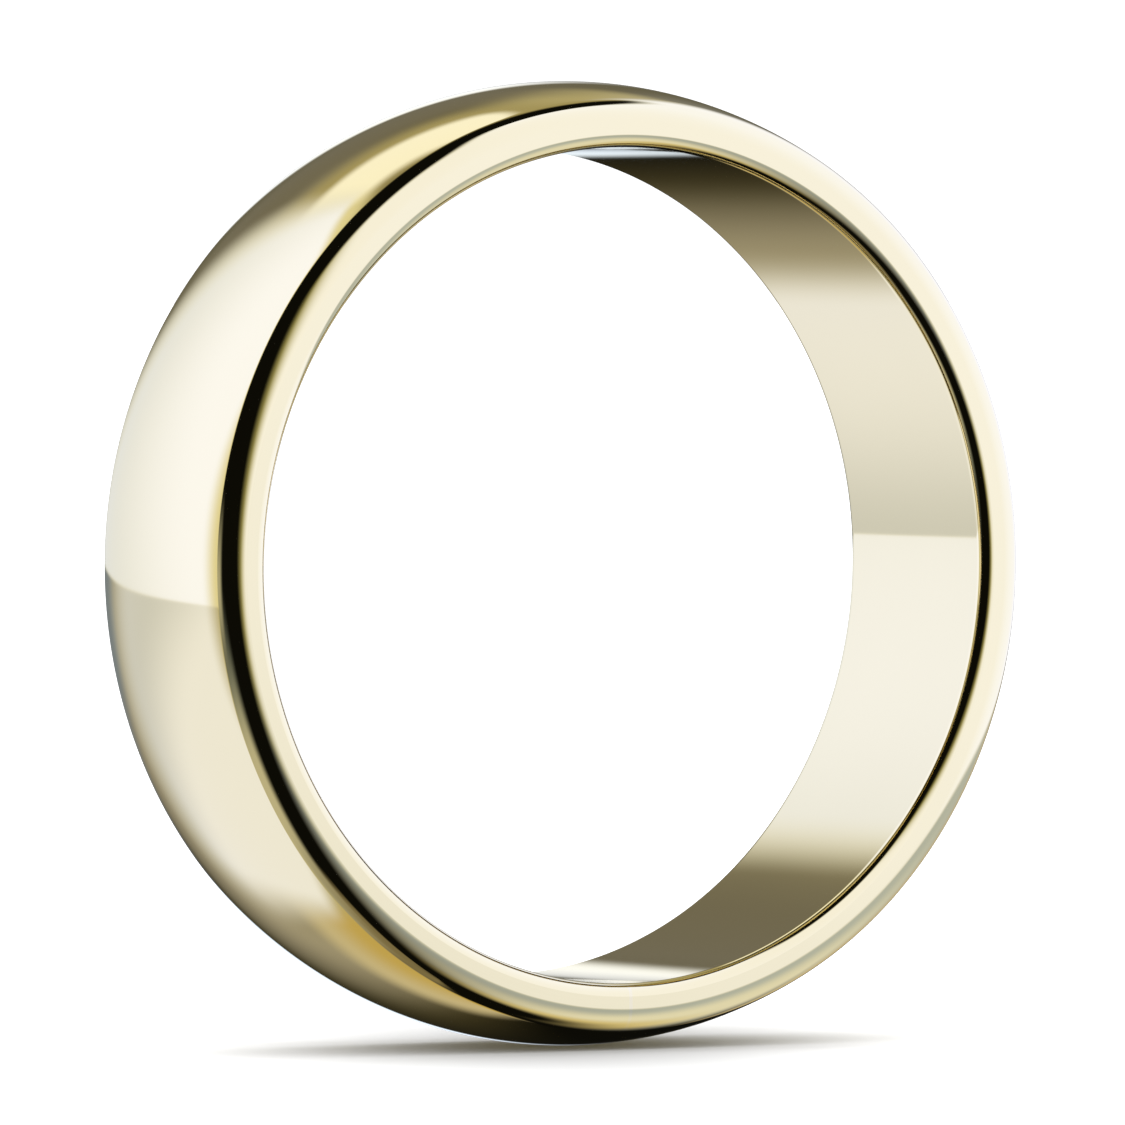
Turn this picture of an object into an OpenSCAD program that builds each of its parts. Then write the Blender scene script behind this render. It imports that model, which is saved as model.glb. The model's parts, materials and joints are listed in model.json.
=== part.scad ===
// Plain D-section wedding band, standing on its rim.
// Frame: origin at the centre of the bore, +Y along the finger, +Z up.
// The band is a length of D-section wire bent round until its ends meet, and
// the ends are joined by a thin layer of solder. The two pieces meet face to
// face, so the outside and the bore run on across the joint.

/* [Band] */
// Width of the band, along the finger
band_w = 6; // [3:0.5:8]
// Diameter of the bore that the finger goes through
bore_d = 19.4; // [14:0.1:23]

/* [Section] */
// Thickness of the wall at the crown of the dome
crown_t = 1.55; // [1.4:0.05:2]
// Thickness that the wall would have at its sides if its edges were sharp
side_t = 1; // [0.95:0.05:1.2]
// Radius of the soft outer edges
outer_edge_r = 0.6; // [0.3:0.05:0.7]
// Radius of the small inner edges
inner_edge_r = 0.3; // [0.1:0.05:0.35]

/* [Solder joint] */
// Thickness of the solder between the ends of the wire, at the bore
solder_t = 0.08; // [0.04:0.01:0.2]
// Place of the joint around the finger, from +X towards +Z
solder_angle = -90; // [-180:15:180]

/* [Hidden] */
$fn = 180;

bore_r = bore_d / 2;
half_w = band_w / 2;

// The dome is one arc across the width. With sharp edges it would meet the
// sides side_t above the bore.
dome_rise = crown_t - side_t;
dome_r = (dome_rise ^ 2 + half_w ^ 2) / (2 * dome_rise);
dome_x = bore_r + crown_t - dome_r;

// Each outer edge is an arc that touches the side and the dome, so its
// centre is outer_edge_r inside both.
outer_y = half_w - outer_edge_r;
outer_x = dome_x + sqrt((dome_r - outer_edge_r) ^ 2 - outer_y ^ 2);

// Each inner edge is a quarter circle between the bore and the side.
inner_x = bore_r + inner_edge_r;
inner_y = half_w - inner_edge_r;

// The corners that the edges' arcs replace are cut away a little past the
// sharp outline.
spare = 1;

// The solder fills the angle that solder_t takes up at the bore.
solder_span = 2 * asin(solder_t / 2 / bore_r);

// Waste at an inner corner, on one side: all that is nearer the bore and the
// side than the centre of the edge's arc, less the arc's own disc
module inner_waste(side) {
    difference() {
        polygon([
            [inner_x, side * inner_y],
            [bore_r - spare, side * inner_y],
            [bore_r - spare, side * (half_w + spare)],
            [inner_x, side * (half_w + spare)]
        ]);
        translate([inner_x, side * inner_y]) circle(r = inner_edge_r);
    }
}

// Waste at an outer corner, on one side: the wedge between the lines from
// the arc's centre to where it touches the side and the dome, less its disc
module outer_waste(side) {
    past_dome = (dome_r + spare) / (dome_r - outer_edge_r);
    reach = past_dome * [outer_x - dome_x, outer_y];
    difference() {
        polygon([
            [outer_x, side * outer_y],
            [dome_x + reach.x, side * reach.y],
            [dome_x + reach.x, side * (half_w + spare)],
            [outer_x, side * (half_w + spare)]
        ]);
        translate([outer_x, side * outer_y]) circle(r = outer_edge_r);
    }
}

// Section of the wire: X is the distance from the finger's axis, and Y runs
// along the finger
module wire_section() {
    difference() {
        intersection() {
            translate([dome_x, 0]) circle(r = dome_r);
            translate([bore_r, -half_w]) square([crown_t + spare, band_w]);
        }
        for (side = [-1, 1]) {
            inner_waste(side);
            outer_waste(side);
        }
    }
}

// The wire's section carried round the finger, from one angle on through a
// span
module bent_wire(start, span) {
    rotate([90, 0, 0])
        rotate([0, 0, start])
            rotate_extrude(angle = span) wire_section();
}

// D-section gold wire, bent round to just short of a full turn
module band_shank() {
    color("palegoldenrod")
        bent_wire(solder_angle + solder_span / 2, 360 - solder_span);
}

// Solder that fills the gap between the wire's two ends, filed flush
module solder_joint() {
    color("khaki")
        bent_wire(solder_angle - solder_span / 2, solder_span);
}

band_shank();
solder_joint();
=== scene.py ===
import json
import math

import bpy
import numpy as np
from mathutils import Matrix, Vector


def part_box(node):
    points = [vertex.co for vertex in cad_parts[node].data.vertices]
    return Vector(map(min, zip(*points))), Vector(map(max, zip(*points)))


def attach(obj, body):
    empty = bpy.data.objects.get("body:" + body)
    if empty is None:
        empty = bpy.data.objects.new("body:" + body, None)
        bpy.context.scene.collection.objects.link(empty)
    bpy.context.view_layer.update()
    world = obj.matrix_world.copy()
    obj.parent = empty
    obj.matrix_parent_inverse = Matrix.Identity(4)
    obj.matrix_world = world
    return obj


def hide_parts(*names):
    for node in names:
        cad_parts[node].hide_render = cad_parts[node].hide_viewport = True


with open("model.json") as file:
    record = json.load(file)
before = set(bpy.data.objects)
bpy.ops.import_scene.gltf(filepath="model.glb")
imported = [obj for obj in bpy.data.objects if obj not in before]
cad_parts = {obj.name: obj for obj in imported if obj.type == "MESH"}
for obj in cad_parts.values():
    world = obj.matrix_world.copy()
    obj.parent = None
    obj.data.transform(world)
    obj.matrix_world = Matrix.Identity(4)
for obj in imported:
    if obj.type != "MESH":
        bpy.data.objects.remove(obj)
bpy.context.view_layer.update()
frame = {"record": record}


# Band shank: the one wire that the band is made of. It is pale yellow gold, drawn
# through a D-shaped die, bent round until its ends nearly meet, then filed and
# mirror polished: a shallow dome outside, narrow flats at the sides.

bore = next(mount for mount in frame["record"]["mounts"] if mount["name"] == "finger_bore")
MILLIMETRES = 1000
BORE_R = bore["dims"]["r_mm"] / MILLIMETRES
STRAIGHT_BORE = bore["dims"]["length_mm"] / MILLIMETRES
_, shank_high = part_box("band_shank")
HALF_WIDTH = shank_high.y
CROWN_R = shank_high.x
INNER_EDGE_R = HALF_WIDTH - STRAIGHT_BORE / 2
OUTER_EDGE_R = 0.0006
SIDE_WALL = 0.0010
SOLDER_SPAN = math.radians(0.4725)
BOTTOM = -math.pi / 2
BORE_STEPS = 12
INNER_EDGE_STEPS = 12
FLAT_STEPS = 2
OUTER_EDGE_STEPS = 18
DOME_STEPS = 44
SHANK_STEPS = 600
GOLD = (0.95, 0.83, 0.50)
GOLD_DULLNESS = 0.05


def arc(centre, radius, start, end, steps):
    """Points and outward normals of an arc: the centre plus the radius times
    (cos, sin) of an angle that runs evenly from start to end, end left out."""
    angle = np.linspace(start, end, steps, endpoint=False)
    normal = np.stack([np.cos(angle), np.sin(angle)], axis=1)
    return centre + radius * normal, normal


def line(start, end, normal, steps):
    """Points spread evenly from start towards end, end left out, with the one
    normal of the line."""
    share = np.linspace(0, 1, steps, endpoint=False)[:, None]
    return start + share * np.subtract(end, start), np.tile(normal, (steps, 1))


def wire_section():
    """Closed outline of the D-section as (distance from the finger's axis,
    place along the finger), with its normals. It starts at the back of the
    bore and runs forwards, out round the front side, over the dome and back
    in. The dome's radius follows from its rise over half the width: rise
    squared plus half width squared, over twice the rise."""
    rise = CROWN_R - BORE_R - SIDE_WALL
    dome_r = (rise ** 2 + HALF_WIDTH ** 2) / (2 * rise)
    dome_x = CROWN_R - dome_r
    outer_y = HALF_WIDTH - OUTER_EDGE_R
    outer_x = dome_x + math.sqrt((dome_r - OUTER_EDGE_R) ** 2 - outer_y ** 2)
    tilt = math.atan2(outer_y, outer_x - dome_x)
    inner_x, inner_y = BORE_R + INNER_EDGE_R, HALF_WIDTH - INNER_EDGE_R
    square = math.pi / 2
    parts = [
        line((BORE_R, inner_y), (BORE_R, -inner_y), (-1.0, 0.0), BORE_STEPS),
        arc((inner_x, -inner_y), INNER_EDGE_R, -2 * square, -square, INNER_EDGE_STEPS),
        line((inner_x, -HALF_WIDTH), (outer_x, -HALF_WIDTH), (0.0, -1.0), FLAT_STEPS),
        arc((outer_x, -outer_y), OUTER_EDGE_R, -square, -tilt, OUTER_EDGE_STEPS),
        arc((dome_x, 0.0), dome_r, -tilt, tilt, DOME_STEPS),
        arc((outer_x, outer_y), OUTER_EDGE_R, tilt, square, OUTER_EDGE_STEPS),
        line((outer_x, HALF_WIDTH), (inner_x, HALF_WIDTH), (0.0, 1.0), FLAT_STEPS),
        arc((inner_x, inner_y), INNER_EDGE_R, square, 2 * square, INNER_EDGE_STEPS),
    ]
    return [np.concatenate(column) for column in zip(*parts)]


def bent_wire(name, start, span, steps):
    """The section carried round the finger's axis: a point at distance r goes
    to (r cos t, y, r sin t) as t runs from start through span, and its normal
    turns with it. Both ends are closed with the section itself. The UV map
    holds the length along the crown and the length round the section, in
    millimetres."""
    outline, outward = wire_section()
    count = len(outline)
    t = np.linspace(start, start + span, steps + 1)[:, None]

    def carried(flat):
        return np.stack([flat[:, 0] * np.cos(t), flat[:, 1] + 0 * t, flat[:, 0] * np.sin(t)], axis=-1)

    points, normals = carried(outline), carried(outward)
    corner = np.arange((steps + 1) * count).reshape(steps + 1, count)
    beside = np.roll(corner, -1, axis=1)
    quads = np.stack([corner[:-1], beside[:-1], beside[1:], corner[1:]], axis=-1).reshape(-1, 4)
    ends = [corner[0][::-1].tolist(), corner[-1].tolist()]
    mesh = bpy.data.meshes.new(name)
    mesh.from_pydata(points.reshape(-1, 3), [], quads.tolist() + ends)
    mesh.polygons.foreach_set("use_smooth", [True] * len(quads) + [False, False])

    step = np.linalg.norm(np.diff(outline, axis=0, append=outline[:1]), axis=1)
    along = np.broadcast_to(t * CROWN_R, (steps + 1, count)) * MILLIMETRES
    across = np.concatenate([[0], np.cumsum(step)]) * MILLIMETRES
    u = np.stack([along[:-1], along[:-1], along[1:], along[1:]], axis=-1)
    v = np.stack([across[:-1], across[1:], across[1:], across[:-1]], axis=-1)
    wire_uv = np.stack([u, np.broadcast_to(v, u.shape)], axis=-1).reshape(-1, 2)
    uv = np.zeros((len(mesh.loops), 2), np.float32)
    uv[:len(wire_uv)] = wire_uv
    mesh.uv_layers.new(name="wire").data.foreach_set("uv", uv.ravel())

    first_end, last_end = len(wire_uv), len(wire_uv) + count
    finish = start + span
    split = np.zeros((len(mesh.loops), 3), np.float32)
    split[:first_end] = normals.reshape(-1, 3)[quads.ravel()]
    split[first_end:last_end] = (math.sin(start), 0, -math.cos(start))
    split[last_end:] = (-math.sin(finish), 0, math.cos(finish))
    mesh.normals_split_custom_set(split.tolist())
    piece = bpy.data.objects.new(name, mesh)
    bpy.context.scene.collection.objects.link(piece)
    return piece


def polished_gold(name, colour, dullness):
    """Mirror-polished gold. The colour drifts by a few hundredths over some
    millimetres, the dullness varies with the wear, and two faint reliefs stir
    the reflections: the soft unevenness that a buffing wheel leaves, and the
    hairlines of the last polish, which run along the wire. The scales count
    blotches to the metre, or for the hairlines to the millimetre, and the
    heights are in metres."""
    drift, wear, uneven, hairline = 180.0, 420.0, 260.0, 1.0
    uneven_height, hairline_height = 0.000005, 0.00000006
    darker, lighter = 0.985, 1.015
    least_worn, most_worn = 0.6, 1.4
    smooth, fine, finest = 0.0, 2.0, 3.0
    along_wire, across_wire = 0.5, 14.0
    material = bpy.data.materials.new(name)
    material.use_nodes = True
    nodes, links = material.node_tree.nodes, material.node_tree.links
    shader = nodes["Principled BSDF"]
    shader.inputs["Metallic"].default_value = 1.0
    place = nodes.new("ShaderNodeTexCoord")

    def noise(source, scale, detail):
        texture = nodes.new("ShaderNodeTexNoise")
        texture.inputs["Scale"].default_value = scale
        texture.inputs["Detail"].default_value = detail
        links.new(source, texture.inputs["Vector"])
        return texture.outputs["Fac"]

    def relief(height, depth, under=None):
        bump = nodes.new("ShaderNodeBump")
        bump.inputs["Strength"].default_value = 1.0
        bump.inputs["Distance"].default_value = depth
        links.new(height, bump.inputs["Height"])
        if under:
            links.new(under, bump.inputs["Normal"])
        return bump.outputs["Normal"]

    tint = nodes.new("ShaderNodeMix")
    tint.data_type = "RGBA"
    tint.inputs["A"].default_value = (*(part * darker for part in colour), 1)
    tint.inputs["B"].default_value = (*(min(part * lighter, 1) for part in colour), 1)
    links.new(noise(place.outputs["Object"], drift, fine), tint.inputs["Factor"])
    links.new(tint.outputs["Result"], shader.inputs["Base Color"])

    worn = nodes.new("ShaderNodeMapRange")
    worn.inputs["To Min"].default_value = dullness * least_worn
    worn.inputs["To Max"].default_value = dullness * most_worn
    links.new(noise(place.outputs["Object"], wear, finest), worn.inputs["Value"])
    links.new(worn.outputs["Result"], shader.inputs["Roughness"])

    wire = nodes.new("ShaderNodeUVMap")
    wire.uv_map = "wire"
    drawn_out = nodes.new("ShaderNodeMapping")
    drawn_out.inputs["Scale"].default_value = (along_wire, across_wire, 1.0)
    links.new(wire.outputs["UV"], drawn_out.inputs["Vector"])
    buffed = relief(noise(place.outputs["Object"], uneven, smooth), uneven_height)
    lined = relief(noise(drawn_out.outputs["Vector"], hairline, fine), hairline_height, buffed)
    links.new(lined, shader.inputs["Normal"])
    return material


shank = bent_wire("polished_shank", BOTTOM + SOLDER_SPAN / 2, 2 * math.pi - SOLDER_SPAN, SHANK_STEPS)
shank.data.materials.append(polished_gold("yellow_gold_polished", GOLD, GOLD_DULLNESS))
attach(shank, "root")
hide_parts("band_shank")


# Solder joint: the thin layer of gold solder, a shade paler than the wire, that
# holds the wire's two ends. It is run in with a flame, then filed and polished
# flush with the band, so it carries the same section across the gap.

SOLDER_GOLD = (0.94, 0.83, 0.55)
SOLDER_DULLNESS = 0.06
SOLDER_STEPS = 2

joint = bent_wire("filed_solder_joint", BOTTOM - SOLDER_SPAN / 2, SOLDER_SPAN, SOLDER_STEPS)
joint.data.materials.append(polished_gold("gold_solder_polished", SOLDER_GOLD, SOLDER_DULLNESS))
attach(joint, "root")
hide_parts("solder_joint")


# Camera: a long lens some 40 cm from the band. The band stands on its rim and is
# turned about a third of a right angle, so that the left of its outside shows.

VIEW_AZIMUTH = -31.15
VIEW_ELEVATION = 1.18
VIEW_DISTANCE = 0.387
AIM_RIGHT = 0.0000373
AIM_UP = 0.0000187
FOCAL_LENGTH = 530.7
NEAREST = 0.05
FARTHEST = 20


def direction(azimuth, elevation):
    """Unit vector towards an azimuth and an elevation in degrees: azimuth 0 is
    -Y, the side of the band that faces forwards, and 90 is +X."""
    turn, lift = np.radians(azimuth), np.radians(elevation)
    level = np.cos(lift)
    return np.stack([np.sin(turn) * level, -np.cos(turn) * level, np.sin(lift) + 0 * turn], axis=-1)


to_camera = Vector(direction(VIEW_AZIMUTH, VIEW_ELEVATION))
right = Vector(direction(VIEW_AZIMUTH + 90, 0))
lens = bpy.data.cameras.new("camera")
lens.lens = FOCAL_LENGTH
lens.clip_start = NEAREST
lens.clip_end = FARTHEST
camera = bpy.data.objects.new("camera", lens)
camera.rotation_mode = "QUATERNION"
camera.rotation_quaternion = (-to_camera).to_track_quat("-Z", "Y")
camera.location = to_camera * VIEW_DISTANCE - right * AIM_RIGHT + to_camera.cross(right) * AIM_UP
bpy.context.scene.collection.objects.link(camera)
bpy.context.scene.camera = camera
bpy.context.scene.view_settings.view_transform = "Standard"


# Table: a plain sheet of matt white paper that the band stands on. The backdrop
# and one very wide lamp overhead light it past white. A soft grey patch painted
# on it, longer towards the camera, carries on the faint shadow under the band.

TABLE_HALF = 3.0
TABLE_WHITE = 0.85
PAPER_DULLNESS = 0.9
PATCH_HALF_WIDTH = 0.0105
PATCH_HALF_LENGTH = 0.026
PATCH_DEPTH = 0.52
LAMP_POWER = 2.2
LAMP_WIDTH = math.radians(165)

sheet = bpy.data.meshes.new("table")
corners = [(-1, -1), (1, -1), (1, 1), (-1, 1)]
sheet.from_pydata([(x * TABLE_HALF, y * TABLE_HALF, -CROWN_R) for x, y in corners], [], [(0, 1, 2, 3)])
table = bpy.data.objects.new("table", sheet)
bpy.context.scene.collection.objects.link(table)
paper = bpy.data.materials.new("matt_white_paper")
paper.use_nodes = True
nodes, links = paper.node_tree.nodes, paper.node_tree.links
shader = nodes["Principled BSDF"]
shader.inputs["Roughness"].default_value = PAPER_DULLNESS
shader.inputs["Specular IOR Level"].default_value = 0.0
place = nodes.new("ShaderNodeTexCoord")
oval = nodes.new("ShaderNodeMapping")
oval.vector_type = "TEXTURE"
oval.inputs["Rotation"].default_value = (0, 0, math.radians(VIEW_AZIMUTH))
oval.inputs["Scale"].default_value = (PATCH_HALF_WIDTH, PATCH_HALF_LENGTH, 1)
distance = nodes.new("ShaderNodeVectorMath")
distance.operation = "LENGTH"
grey = nodes.new("ShaderNodeMapRange")
grey.interpolation_type = "SMOOTHSTEP"
grey.inputs["To Min"].default_value = TABLE_WHITE * (1 - PATCH_DEPTH)
grey.inputs["To Max"].default_value = TABLE_WHITE
links.new(place.outputs["Object"], oval.inputs["Vector"])
links.new(oval.outputs["Vector"], distance.inputs[0])
links.new(distance.outputs["Value"], grey.inputs["Value"])
links.new(grey.outputs["Result"], shader.inputs["Base Color"])
sheet.materials.append(paper)
table.visible_glossy = False

lamp = bpy.data.lights.new("overhead_lamp", "SUN")
lamp.energy = LAMP_POWER
lamp.angle = LAMP_WIDTH
overhead = bpy.data.objects.new("overhead_lamp", lamp)
overhead.visible_glossy = False
bpy.context.scene.collection.objects.link(overhead)


# Studio: a light tent of cloth all round the band, which only shows in the gold.
# Its left and right are big white softboxes, the side towards the camera is
# dark, and the rest is dim and warm. Places on it are azimuths from the camera.

TENT_R = 3.0
CLOTH_STEP = 0.5
FINE_STEP = 0.1
FINE_FROM, FINE_TO = -12, 6
BLACK_CLOTH = (0.004, 0.004, 0.003)


def fade(value, start, end):
    """0 up to start, 1 from end on, and an S-curve between, 3 x squared minus
    2 x cubed."""
    share = np.clip((value - start) / (end - start), 0, 1)
    return share ** 2 * (3 - 2 * share)


def above(az, el, through, slope):
    """Distance in degrees above a line through a place, which slopes up to the
    right by so many degrees: the height over that place times the cosine of
    the slope, less the way to its right times the sine."""
    turn = np.radians(slope)
    return (el - through[1]) * np.cos(turn) - (az - through[0]) * np.sin(turn)


def blend(first, second, share):
    """The first colour where share is 0 and the second where it is 1."""
    return first + (np.asarray(second) - first) * share[..., None]


def laid(light, az, el, cards):
    """The light with rounded cards laid over it in turn. A card has its colour,
    its middle and half size as azimuth and elevation, the radius of its corners
    and the width of its soft edge. It covers what is nearer than its edge, by
    the distance to a rectangle with rounded corners."""
    for colour, middle, half, corner, soft in cards:
        out_az = np.abs((az - middle[0] + 180) % 360 - 180) - half[0] + corner
        out_el = np.abs(el - middle[1]) - half[1] + corner
        outside = np.hypot(np.maximum(out_az, 0), np.maximum(out_el, 0))
        distance = outside + np.minimum(np.maximum(out_az, out_el), 0) - corner
        light = blend(light, colour, fade(-distance, -soft / 2, soft / 2))
    return light


def dim_walls(light, az, el):
    """The light with what hangs to the left and behind laid over it. The walls
    behind darken towards the seam of the tent, where azimuth 180 meets -180,
    and the table throws more light up the lower a place is."""
    behind = np.where(az > 0, az - 360, az)
    bounce = blend((0.28, 0.32, 0.32), (0.52, 0.51, 0.42), fade(-el, 14, 40))
    low_wall = blend((0.07, 0.06, 0.03), (0.35, 0.33, 0.28), fade(behind, -174, -150))
    gilt = blend((0.58, 0.52, 0.37), (0.55, 0.42, 0.14), fade(-el, 46, 56))
    high_wall = blend((0.13, 0.12, 0.08), (0.30, 0.29, 0.24), fade(behind, -170, -148))
    return laid(light, az, el, [
        ((0.20, 0.17, 0.10), (-85, -76), (75, 14), 12, 16),     # brown floor cloth
        (bounce, (-86, -42), (46, 22), 20, 36),                 # light off the table
        ((0.42, 0.42, 0.35), (-80, -4), (19, 9), 8, 18),        # pale card at the table's level
        (low_wall, (-145, -32), (28, 28), 12, 18),              # rear wall, low
        (gilt, (-146, -52), (32, 8.5), 7, 8),                   # gold reflector on the floor
        (high_wall, (-172, 24), (44, 28), 14, 20),              # rear wall, high
        ((0.38, 0.34, 0.18), (-160, 47), (44, 12), 11, 12),     # warm cloth round the high lamp
        ((0.44, 0.40, 0.23), (-183, 32), (8, 8), 6, 8),         # warm card straight behind
        ((1.02, 1.04, 1.05), (-152, 48.5), (24, 6.5), 5, 4),    # long lamp, high behind
        ((0.17, 0.16, 0.13), (-164, 24), (17, 10), 9, 13),      # dark gap in the rear wall
        ((0.20, 0.24, 0.31), (-159, -2), (13, 7), 6, 6),        # cool card at the table's edge
        ((1.05, 1.10, 1.20), (-176, 9), (4, 6), 4, 4),          # small lamp behind, high
        ((1.00, 1.15, 1.40), (-176, -8), (3.5, 4), 3, 3),       # small lamp behind, low
    ])


def left_softbox(light, az, el):
    """The light with the left softbox laid over it. Its outline bulges: the way
    right of the middle over the half width, and the height over the half
    height, each to the power of the squareness, add up to about 1. Its rear
    corners are cut off aslant. The table's edge parts it: above is the box, and
    below is its dimmer light off the table, each inside a warm rim."""
    middle, half_width, half_height, squareness = -122, 39, 52.5, 2.6
    across = np.where(az > middle, np.abs(az - middle) / half_width, 0)
    reach = across ** squareness + (np.abs(el) / half_height) ** squareness
    table_edge = above(az, el, through=(-140, -2.5), slope=-5.2)

    low_corner = fade(above(az, el, through=(-145, -36), slope=-47), -4, 7)
    low_box = low_corner * fade(az - 0.45 * el, -152, -128) * fade(-table_edge, -0.6, -0.2)
    low_light = blend((0.64, 0.69, 0.86), (0.90, 0.96, 1.25), fade((az + 120) / 2 - table_edge, 0, 22))
    light = blend(light, (0.50, 0.47, 0.31), low_box * fade(-reach, -1.45, -1.1))
    light = blend(light, low_light, low_box * fade(-reach, -1.15, -0.92) * fade(-az, 82, 90))

    high_corner = fade(-above(az, el, through=(-152, 20), slope=64), -6, 8)
    high_box = high_corner * fade(table_edge, -0.2, 0.2)
    high_light = blend((0.80, 0.87, 1.08), (1.03, 1.13, 1.66), fade(az + 0.35 * el, -158, -90))
    light = blend(light, (0.78, 0.75, 0.52), high_box * fade(-reach, -1.4, -1.1))
    return blend(light, high_light, high_box * fade(-reach, -1.1, -0.95) * fade(-az, 83, 90))


def right_softbox(light, az, el):
    """The light with the right side laid over it: the table, blue-grey far off,
    whiter nearer and golden close to, and the softbox over it. The foot of the
    box is a parabola, the square of the way from its middle, which runs out to
    the left in a straight line and blurs. The inner edge is aslant with a warm
    rim, the crown narrows above its shoulder, and the top ends at a line that
    bends up by the square of the way to the left."""
    table = blend((0.47, 0.54, 0.67), (0.78, 0.80, 0.80), fade(-el, 14, 42))
    table = blend(table, (0.66, 0.58, 0.34), fade(-el, 44, 60))
    spread = fade(az, 22, 72) * fade(-az, -172, -118) * fade(el, -72, -56) * fade(-el, -4, 2)
    gold_card = ((0.55, 0.46, 0.28), (147, -20), (20, 14), 8, 8)
    light = laid(light, az, el, [gold_card])
    light = blend(light, table, spread)

    foot_middle, foot_width, foot_height, foot_end = 108, 16, -13.5, 60
    curved_foot = ((az - foot_middle) / foot_width) ** 2 + foot_height
    straight_foot = az / 4 - 19.5
    foot = np.where(az > foot_end, curved_foot, straight_foot)
    foot_blur = 3 + 12 * fade(-az, -78, -50)
    inner_edge = above(az, el, through=(22, 15), slope=-55)
    middle, shoulder, narrowing = 92, 45, 1.9
    from_middle = -np.abs(az - middle) - narrowing * np.maximum(el - shoulder, 0)
    crown = fade(from_middle, -118, -84) * fade(-el, -84, -74)
    bend_from, bend = 116, 0.03
    top_line = above(az, el, through=(bend_from, 60), slope=-15)
    top_edge = top_line - bend * np.maximum(bend_from - az, 0) ** 2
    box = fade((el - foot) / foot_blur, -0.5, 0.5) * crown * fade(-az, -178, -150) * (az > -40)
    box = box * fade(-top_edge, -3, 3)
    light = blend(light, (0.44, 0.42, 0.19), box * fade(inner_edge, -18, 8))
    white = blend((0.98, 1.04, 1.33), (1.02, 1.12, 1.62), fade(az, 40, 110))
    return blend(light, white, box * fade(inner_edge, -6, 18))


low_rows = np.arange(-90, FINE_FROM, CLOTH_STEP)
fine_rows = np.arange(FINE_FROM, FINE_TO, FINE_STEP)
high_rows = np.arange(FINE_TO, 90 + CLOTH_STEP / 2, CLOTH_STEP)
az = np.arange(-180, 180 + CLOTH_STEP / 2, CLOTH_STEP)[:, None]
el = np.concatenate([low_rows, fine_rows, high_rows])[None, :]
az, el = np.broadcast_arrays(az, el)
tent_light = np.zeros(az.shape + (3,)) + BLACK_CLOTH
for hang in (dim_walls, left_softbox, right_softbox):
    tent_light = hang(tent_light, az, el)
corner = np.arange(az.size).reshape(az.shape)
walls = np.stack([corner[:-1, :-1], corner[1:, :-1], corner[1:, 1:], corner[:-1, 1:]], axis=-1)
points = direction(az + VIEW_AZIMUTH, el) * TENT_R
cloth = bpy.data.meshes.new("light_tent")
cloth.from_pydata(points.reshape(-1, 3), [], walls.reshape(-1, 4).tolist())
colours = np.ones((az.size, 4), np.float32)
colours[:, :3] = tent_light.reshape(-1, 3)
cloth.attributes.new("light", "FLOAT_COLOR", "POINT").data.foreach_set("color", colours.ravel())
glow = bpy.data.materials.new("lit_tent_cloth")
glow.use_nodes = True
glow.node_tree.nodes.clear()
painted = glow.node_tree.nodes.new("ShaderNodeAttribute")
painted.attribute_name = "light"
emission = glow.node_tree.nodes.new("ShaderNodeEmission")
surface = glow.node_tree.nodes.new("ShaderNodeOutputMaterial")
glow.node_tree.links.new(painted.outputs["Color"], emission.inputs["Color"])
glow.node_tree.links.new(emission.outputs["Emission"], surface.inputs["Surface"])
glow.cycles.emission_sampling = "NONE"
cloth.materials.append(glow)
tent = bpy.data.objects.new("light_tent", cloth)
tent.visible_camera = False
tent.visible_diffuse = False
tent.visible_shadow = False
bpy.context.scene.collection.objects.link(tent)


# Backdrop: plain white all round, a little over white. It shows behind the band
# and past the end of the table, and its light falls on the table.

BACKDROP = 1.2

room = bpy.data.worlds.new("white_backdrop")
room.use_nodes = True
room.node_tree.nodes["Background"].inputs["Color"].default_value = (1, 1, 1, 1)
room.node_tree.nodes["Background"].inputs["Strength"].default_value = BACKDROP
bpy.context.scene.world = room
